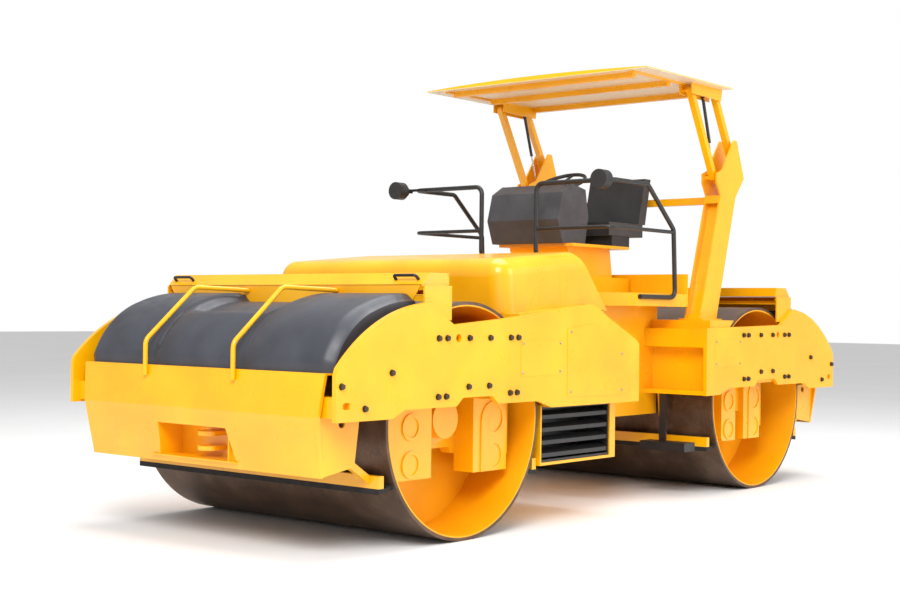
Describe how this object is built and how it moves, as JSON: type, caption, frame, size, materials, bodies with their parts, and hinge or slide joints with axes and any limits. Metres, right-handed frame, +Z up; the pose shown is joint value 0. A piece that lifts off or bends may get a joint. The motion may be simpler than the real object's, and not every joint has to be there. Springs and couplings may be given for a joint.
{
  "type": "tandem roller",
  "caption": "Heavy articulated road roller with two steel drums, water tanks over each drum, engine hood in front, open driver's platform and folding canopy behind.",
  "frame": {"origin": "on the ground under the steering pivot, half way between the drums", "axes": "+X to the machine's left side, -Y forward, +Z up"},
  "size_m": [2.3, 5.9418, 3.0956],
  "materials": {
    "yellow_paint": "glossy yellow machine enamel",
    "drum_steel": "bare rolled steel, brown with use, painted yellow inside",
    "tank_plastic": "satin rotomoulded polyethylene",
    "black_paint": "satin black enamel",
    "blade_rubber": "matt rubber",
    "black_plastic": "moulded black plastic",
    "console_plastic": "textured dark grey moulding",
    "seat_vinyl": "black vinyl",
    "lamp_housing": "black housing with clear lens",
    "rod_chrome": "polished chrome",
    "engine_iron": "painted cast iron"
  },
  "bodies": {
    "rear_frame": {"access_steps": "black_paint", "canopy_posts": "yellow_paint", "centre_body": "yellow_paint", "console": "console_plastic", "handrails": "black_paint", "platform": "yellow_paint", "rear_cross_box": "yellow_paint", "rear_drum_carriers": "yellow_paint", "rear_end_panel": "yellow_paint", "rear_scraper_bars": "yellow_paint", "rear_scraper_blades": "blade_rubber", "rear_side_plate_left": "yellow_paint", "rear_side_plate_right": "yellow_paint", "rear_spray_bridge": "yellow_paint", "rear_tank_guards": "yellow_paint", "rear_water_tank": "tank_plastic", "seat_back": "seat_vinyl", "seat_cushion": "seat_vinyl", "seat_frame": "black_plastic", "station_pedestal": "yellow_paint", "steering_barrel": "yellow_paint", "steering_wheel": "black_plastic", "work_lamps": "lamp_housing"},
    "front_frame": {"front_chassis": "yellow_paint", "front_side_plate_left": "yellow_paint", "front_side_plate_right": "yellow_paint", "front_drum_carriers": "yellow_paint", "front_end_panel": "yellow_paint", "front_water_tank": "tank_plastic", "front_spray_bridge": "yellow_paint", "front_tank_guards": "yellow_paint", "front_scraper_bars": "yellow_paint", "front_scraper_blades": "blade_rubber", "engine_block": "engine_iron", "side_grilles": "black_paint"},
    "front_drum": {"front_drum": "drum_steel"},
    "rear_drum": {"rear_drum": "drum_steel"},
    "front_lid": {"front_spray_lid": "yellow_paint", "front_lid_handles": "black_plastic"},
    "rear_lid": {"rear_spray_lid": "yellow_paint", "rear_lid_handles": "black_plastic"},
    "hood": {"engine_hood": "yellow_paint"},
    "yoke": {"steering_yoke": "yellow_paint"},
    "steering_rod": {"steering_rod": "rod_chrome"},
    "links_front": {"canopy_links_front": "yellow_paint"},
    "links_rear": {"canopy_links_rear": "yellow_paint"},
    "roof": {"canopy_roof": "yellow_paint", "canopy_frame": "yellow_paint"},
    "strut_barrels": {"canopy_strut_barrels": "black_paint"},
    "strut_rods": {"canopy_strut_rods": "rod_chrome"}
  },
  "joints": [
    {"name": "steer", "type": "hinge", "parent": "rear_frame", "child": "yoke", "pos_m": [0, 0, 0.665], "axis": [0, 0, 1], "range_deg": [-33, 33]},
    {"name": "frame_swing", "type": "hinge", "parent": "yoke", "child": "front_frame", "pos_m": [0, 0, 0.665], "axis": [0, 1, 0], "range_deg": [-6, 6]},
    {"name": "steering_stroke", "type": "slide", "parent": "rear_frame", "child": "steering_rod", "axis": [0, -1, 0], "range_m": [-0.1254, 0.1254]},
    {"name": "front_drum_spin", "type": "hinge", "parent": "front_frame", "child": "front_drum", "pos_m": [0, -1.7865, 0.7], "axis": [1, 0, 0], "continuous": true},
    {"name": "rear_drum_spin", "type": "hinge", "parent": "rear_frame", "child": "rear_drum", "pos_m": [0, 1.7865, 0.7], "axis": [1, 0, 0], "continuous": true},
    {"name": "hood_hinge", "type": "hinge", "parent": "front_frame", "child": "hood", "pos_m": [0, -1.345, 1.3], "axis": [1, 0, 0], "range_deg": [0, 50]},
    {"name": "front_lid_hinge", "type": "hinge", "parent": "front_frame", "child": "front_lid", "pos_m": [0, -2.036, 1.466], "axis": [-1, 0, 0], "range_deg": [0, 75]},
    {"name": "rear_lid_hinge", "type": "hinge", "parent": "rear_frame", "child": "rear_lid", "pos_m": [0, 2.036, 1.466], "axis": [1, 0, 0], "range_deg": [0, 75]},
    {"name": "canopy_fold", "type": "hinge", "parent": "rear_frame", "child": "links_front", "pos_m": [0, 1.38, 2.386], "axis": [1, 0, 0], "range_deg": [0, 45]},
    {"name": "canopy_rear_link", "type": "hinge", "parent": "rear_frame", "child": "links_rear", "pos_m": [0, 1.729, 2.408], "axis": [1, 0, 0], "range_deg": [0, 45]},
    {"name": "canopy_level", "type": "hinge", "parent": "links_front", "child": "roof", "pos_m": [0, 1.022, 3.013], "axis": [1, 0, 0], "range_deg": [-45, 0]},
    {"name": "strut_swing", "type": "hinge", "parent": "roof", "child": "strut_barrels", "pos_m": [0, 1.29, 2.985], "axis": [1, 0, 0], "range_deg": [0, 59.24]},
    {"name": "strut_stroke", "type": "slide", "parent": "strut_barrels", "child": "strut_rods", "axis": [0, 0.3085, -0.9512], "range_m": [-0.0519, 0]}
  ],
  "couplings": [
    {"joint": "steering_stroke", "follows": "steer", "m_per_rad": -0.21749},
    {"joint": "canopy_rear_link", "follows": "canopy_fold", "ratio": 1},
    {"joint": "canopy_level", "follows": "canopy_fold", "ratio": -1},
    {"joint": "strut_swing", "follows": "canopy_fold", "ratio": 1.3153},
    {"joint": "strut_stroke", "follows": "canopy_fold", "m_per_rad": -0.06577}
  ]
}
